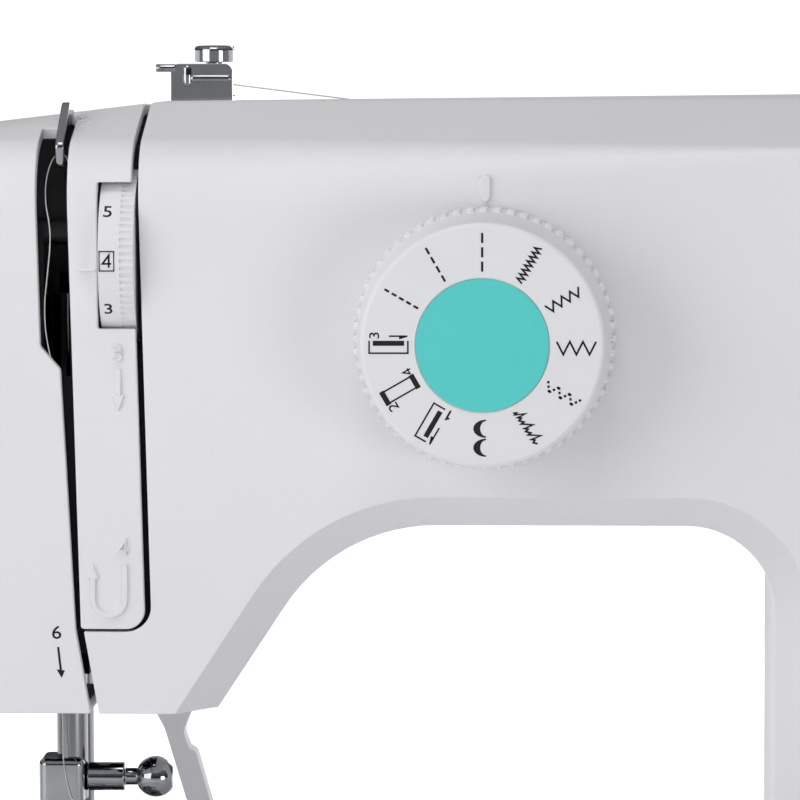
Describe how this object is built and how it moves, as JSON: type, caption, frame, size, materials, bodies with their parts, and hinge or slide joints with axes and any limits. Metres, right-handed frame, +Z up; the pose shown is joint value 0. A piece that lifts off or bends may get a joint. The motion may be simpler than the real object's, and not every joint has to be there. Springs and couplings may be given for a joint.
{
  "type": "sewing machine",
  "caption": "Domestic free-arm sewing machine with a stitch pattern dial, take-up lever, needle and presser bars, drop-in bobbin, pull-off accessory tray and handwheel drive.",
  "frame": {"origin": "middle of the footprint, on the table under the feet", "axes": "+X to the operator's right along the arm, +Y away from the operator, +Z up"},
  "size_m": [0.372, 0.16, 0.346],
  "materials": {
    "white_abs": "moulded white ABS, fine satin",
    "black_plastic": "moulded black",
    "grey_plastic": "moulded grey",
    "clear_plastic": "clear polycarbonate",
    "turquoise_film": "printed inlay disc",
    "chrome": "polished plate",
    "steel": "ground steel",
    "cast_aluminium": "die cast",
    "bronze": "sintered bush",
    "rubber": "moulded rubber",
    "motor_case": "painted steel can",
    "thread": "spun polyester thread"
  },
  "bodies": {
    "frame": {"front_cover": "white_abs", "rear_cover": "white_abs", "face_cover": "white_abs", "tension_panel": "white_abs", "thread_channel": "black_plastic", "chassis": "cast_aluminium", "base": "white_abs", "bottom_plate": "black_plastic", "feet": "rubber", "free_arm": "white_abs", "needle_plate": "steel", "shaft_bushes": "bronze", "motor": "motor_case", "motor_belt": "rubber", "timing_belt": "rubber", "bobbin_case": "black_plastic", "tension_discs": "steel", "power_inlet": "black_plastic", "spool_pins": "steel", "thread_guide": "chrome", "guide_nut": "chrome", "upper_thread": "thread", "lamp_lens": "clear_plastic", "thread_cutter": "grey_plastic", "cover_screws": "steel", "presser_spring": "steel"},
    "main_shaft": {"main_shaft": "steel", "crank": "cast_aluminium", "shaft_pulleys": "grey_plastic", "handwheel": "white_abs"},
    "connecting_link": {"connecting_link": "cast_aluminium"},
    "motor_rotor": {"motor_pulley": "grey_plastic"},
    "lower_shaft": {"lower_shaft": "steel"},
    "hook": {"hook": "steel"},
    "bobbin": {"bobbin": "clear_plastic"},
    "bobbin_cover": {"bobbin_cover": "clear_plastic"},
    "accessory_tray": {"accessory_tray": "white_abs"},
    "tray_lid": {"tray_lid": "white_abs"},
    "feed_bar": {"feed_bar": "cast_aluminium"},
    "feed_dog": {"feed_dog": "steel"},
    "needle_bar_frame": {"needle_bar_frame": "cast_aluminium"},
    "needle_bar": {"needle_bar": "steel", "needle_clamp": "chrome", "needle": "steel"},
    "clamp_screw": {"clamp_screw": "chrome"},
    "presser_bar": {"presser_bar": "steel", "foot_ankle": "chrome"},
    "presser_foot": {"presser_foot": "chrome"},
    "presser_lifter": {"presser_lifter": "white_abs"},
    "take_up_lever": {"take_up_lever": "chrome"},
    "pattern_dial": {"pattern_dial": "white_abs", "dial_disc": "turquoise_film", "pattern_cam": "grey_plastic"},
    "tension_dial": {"tension_dial": "white_abs"},
    "reverse_lever": {"reverse_lever": "white_abs"},
    "power_switch": {"power_switch": "black_plastic"},
    "thread_spool": {"thread_spool": "thread"},
    "winder_lever": {"winder_lever": "grey_plastic"},
    "winder_spindle": {"winder_spindle": "white_abs"},
    "carry_handle": {"carry_handle": "white_abs"}
  },
  "joints": [
    {"name": "handwheel_turn", "type": "hinge", "parent": "frame", "child": "main_shaft", "pos_m": [0.173, 0.022, 0.25], "axis": [1, 0, 0], "continuous": true},
    {"name": "link_turn", "type": "hinge", "parent": "main_shaft", "child": "connecting_link", "pos_m": [-0.1107, 0.022, 0.2645], "axis": [1, 0, 0], "continuous": true},
    {"name": "lower_shaft_turn", "type": "hinge", "parent": "frame", "child": "lower_shaft", "pos_m": [0, 0.0329, 0.0605], "axis": [1, 0, 0], "continuous": true},
    {"name": "hook_turn", "type": "hinge", "parent": "frame", "child": "hook", "pos_m": [-0.118, 0.0065, 0.08], "axis": [0, 0, 1], "continuous": true},
    {"name": "motor_turn", "type": "hinge", "parent": "frame", "child": "motor_rotor", "pos_m": [0.14, 0.022, 0.112], "axis": [1, 0, 0], "continuous": true},
    {"name": "needle_bar_swing", "type": "hinge", "parent": "frame", "child": "needle_bar_frame", "pos_m": [-0.127, 0.022, 0.246], "axis": [0, 1, 0], "range_deg": [-0.94, 0.94]},
    {"name": "needle_bar_stroke", "type": "slide", "parent": "needle_bar_frame", "child": "needle_bar", "axis": [0, 0, -1], "range_m": [0, 0.029]},
    {"name": "clamp_screw_turn", "type": "hinge", "parent": "needle_bar", "child": "clamp_screw", "pos_m": [-0.105, 0.022, 0.137], "axis": [1, 0, 0], "range_deg": [0, 360]},
    {"name": "take_up_swing", "type": "hinge", "parent": "frame", "child": "take_up_lever", "pos_m": [-0.11595, 0.022, 0.264], "axis": [1, 0, 0], "range_deg": [0, 76]},
    {"name": "presser_lever_lift", "type": "hinge", "parent": "frame", "child": "presser_lifter", "pos_m": [-0.104, 0.069, 0.168], "axis": [0, -1, 0], "range_deg": [0, 80]},
    {"name": "presser_bar_lift", "type": "slide", "parent": "frame", "child": "presser_bar", "axis": [0, 0, 1], "range_m": [0, 0.005], "deforming": ["presser_spring"]},
    {"name": "presser_foot_tilt", "type": "hinge", "parent": "presser_bar", "child": "presser_foot", "pos_m": [-0.118, 0.033, 0.1005], "axis": [1, 0, 0], "range_deg": [-12, 0]},
    {"name": "pattern_dial_turn", "type": "hinge", "parent": "frame", "child": "pattern_dial", "pos_m": [-0.0208, -0.03, 0.2434], "axis": [0, -1, 0], "continuous": true},
    {"name": "tension_dial_turn", "type": "hinge", "parent": "frame", "child": "tension_dial", "pos_m": [-0.1023, -0.0043, 0.2603], "axis": [1, 0, 0], "range_deg": [-136, 170]},
    {"name": "reverse_lever_press", "type": "hinge", "parent": "frame", "child": "reverse_lever", "pos_m": [0.1, -0.008, 0.128], "axis": [1, 0, 0], "range_deg": [0, 14], "stiffness_Nm_per_rad": 0.4, "springref_deg": -5.73},
    {"name": "power_switch_rock", "type": "hinge", "parent": "frame", "child": "power_switch", "pos_m": [0.1504, 0.046, 0.047], "axis": [0, 1, 0], "range_deg": [-7, 7]},
    {"name": "carry_handle_swing", "type": "hinge", "parent": "frame", "child": "carry_handle", "pos_m": [0, 0.073, 0.268], "axis": [1, 0, 0], "range_deg": [0, 175]},
    {"name": "tray_slide", "type": "slide", "parent": "frame", "child": "accessory_tray", "axis": [-1, 0, 0], "range_m": [0, 0.235]},
    {"name": "tray_lid_open", "type": "hinge", "parent": "accessory_tray", "child": "tray_lid", "pos_m": [-0.07, -0.0787, 0.0353], "axis": [1, 0, 0], "range_deg": [0, 95]},
    {"name": "bobbin_cover_lift", "type": "slide", "parent": "frame", "child": "bobbin_cover", "axis": [0, 0, 1], "range_m": [0, 0.03]},
    {"name": "bobbin_spin", "type": "hinge", "parent": "frame", "child": "bobbin", "pos_m": [-0.118, 0.0065, 0.085], "axis": [0, 0, 1], "continuous": true},
    {"name": "feed_bar_shift", "type": "slide", "parent": "frame", "child": "feed_bar", "axis": [0, 1, 0], "range_m": [-0.00125, 0.00125]},
    {"name": "feed_dog_drop", "type": "slide", "parent": "feed_bar", "child": "feed_dog", "axis": [0, 0, -1], "range_m": [0, 0.002]},
    {"name": "spool_spin", "type": "hinge", "parent": "frame", "child": "thread_spool", "pos_m": [0.092, 0.042, 0.31], "axis": [0, 0, 1], "continuous": true},
    {"name": "winder_lever_swing", "type": "hinge", "parent": "frame", "child": "winder_lever", "pos_m": [0.118, 0.026, 0.279], "axis": [0, 0, 1], "range_deg": [0, 14]},
    {"name": "winder_spindle_spin", "type": "hinge", "parent": "winder_lever", "child": "winder_spindle", "pos_m": [0.118, 0.004, 0.3], "axis": [0, 0, 1], "continuous": true}
  ],
  "couplings": [
    {"joint": "link_turn", "follows": "handwheel_turn", "ratio": -1},
    {"joint": "lower_shaft_turn", "follows": "handwheel_turn", "ratio": 1},
    {"joint": "hook_turn", "follows": "handwheel_turn", "ratio": 2},
    {"joint": "motor_turn", "follows": "handwheel_turn", "ratio": 3.8571},
    {"joint": "take_up_swing", "follows": "needle_bar_stroke", "rad_per_m": 45.74},
    {"joint": "presser_lever_lift", "follows": "presser_bar_lift", "rad_per_m": 279.25}
  ]
}
